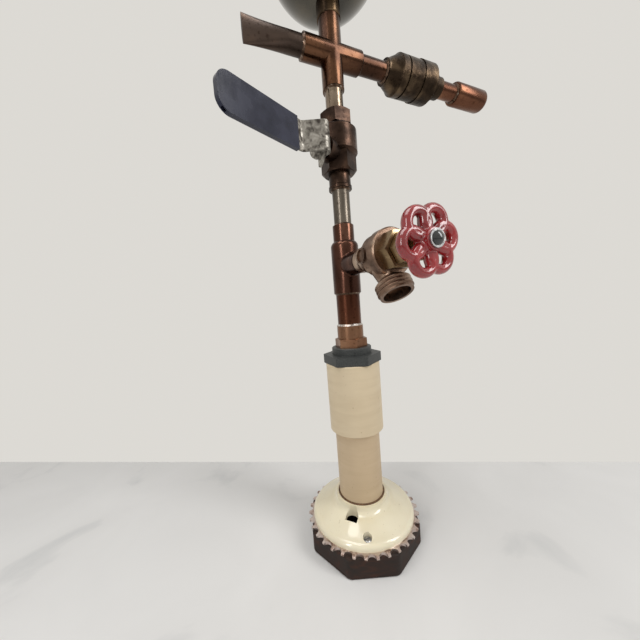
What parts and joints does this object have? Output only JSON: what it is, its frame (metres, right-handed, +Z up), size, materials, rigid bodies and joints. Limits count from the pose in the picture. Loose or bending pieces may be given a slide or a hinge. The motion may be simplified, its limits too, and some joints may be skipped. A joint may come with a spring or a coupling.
{
  "type": "pipe table lamp",
  "caption": "Table lamp built of copper and plastic pipe, fittings and valves on a wooden foot, with an up-facing lamp bowl, a lever valve and a handwheel tap.",
  "frame": {"origin": "centre of the foot's underside, on the table", "axes": "+Z up along the pipe column, +X towards the check valve's arm, -Y towards the handwheel tap"},
  "size_m": [0.3048, 0.1672, 0.5863],
  "materials": {
    "foot_wood": "satin dark stain",
    "sprocket_steel": "satin",
    "rose_glaze": "gloss",
    "plain_steel": "satin",
    "pipe_plug_plastic": "matt",
    "seal_brown": "matt",
    "beige_plastic": "matt",
    "charcoal_plastic": "matt",
    "copper": "worn polish",
    "solder": "satin",
    "tap_brass": "worn polish",
    "bronze_brass": "aged",
    "seat_plastic": "matt",
    "packing": "matt",
    "ball_chrome": "polished",
    "lever_steel": "zinc, mottled",
    "grip_vinyl": "gloss",
    "wheel_red": "gloss",
    "black_steel": "gloss",
    "spring_steel": "bright",
    "bowl_smoke": "high gloss",
    "porcelain": "gloss",
    "bulb_glass": "clear",
    "filament": "dull"
  },
  "bodies": {
    "lamp": {"foot_block": "foot_wood", "sprocket_ring": "sprocket_steel", "base_rose": "rose_glaze", "rose_screws": "plain_steel", "hanger_bolt": "plain_steel", "pipe_plug": "pipe_plug_plastic", "clamp_washer": "plain_steel", "clamp_nut": "plain_steel", "neck_seal": "seal_brown", "lower_plastic_pipe": "beige_plastic", "pipe_coupling": "beige_plastic", "reducer_bushing": "charcoal_plastic", "copper_adapter": "copper", "lower_riser_tube": "copper", "branch_tee": "copper", "branch_stub_tube": "copper", "drain_body": "tap_brass", "drain_bonnet": "tap_brass", "stem_packing": "packing", "packing_nut": "tap_brass", "middle_riser_tube": "copper", "ball_valve_body": "bronze_brass", "ball_valve_end": "bronze_brass", "lower_ball_seat": "seat_plastic", "upper_ball_seat": "seat_plastic", "gland_nut": "bronze_brass", "upper_riser_tube": "copper", "copper_cross": "copper", "left_arm_tube": "copper", "right_arm_tube": "copper", "check_valve_body": "bronze_brass", "check_valve_end": "bronze_brass", "check_spring": "spring_steel", "arm_end_tube": "copper", "arm_end_cap": "copper", "top_adapter": "copper", "lamp_nipple": "plain_steel", "nipple_locknut": "plain_steel", "lamp_bowl": "bowl_smoke", "lampholder_body": "porcelain", "screw_sleeve": "tap_brass", "centre_contact": "tap_brass", "bulb_cap": "plain_steel", "bulb_glass": "bulb_glass", "bulb_mount": "bulb_glass", "bulb_filament": "filament", "solder_rings": "solder"},
    "lever": {"ball_stem": "bronze_brass", "valve_ball": "ball_chrome", "valve_lever": "lever_steel", "lever_sleeve": "grip_vinyl", "lever_nut": "plain_steel"},
    "tap_washer": {"seat_washer": "packing"},
    "tap_wheel": {"drain_stem": "tap_brass", "handwheel": "wheel_red", "handwheel_washer": "plain_steel", "handwheel_screw": "black_steel"},
    "check_poppet": {"check_poppet": "tap_brass"}
  },
  "joints": [
    {"name": "lever_turn", "type": "hinge", "parent": "lamp", "child": "lever", "pos_m": [0, 0, 0.362], "axis": [-0.866, -0.5, 0], "range_deg": [0, 90]},
    {"name": "washer_lift", "type": "slide", "parent": "lamp", "child": "tap_washer", "axis": [0, -1, 0], "range_m": [0, 0.006]},
    {"name": "wheel_turn", "type": "hinge", "parent": "tap_washer", "child": "tap_wheel", "pos_m": [0, -0.1, 0.263], "axis": [0, -1, 0], "range_deg": [0, 720]},
    {"name": "poppet_slide", "type": "slide", "parent": "lamp", "child": "check_poppet", "axis": [1, 0, 0], "range_m": [0, 0.004], "stiffness_N_per_m": 100}
  ],
  "couplings": [
    {"joint": "washer_lift", "follows": "wheel_turn", "m_per_rad": 0.00047746}
  ]
}
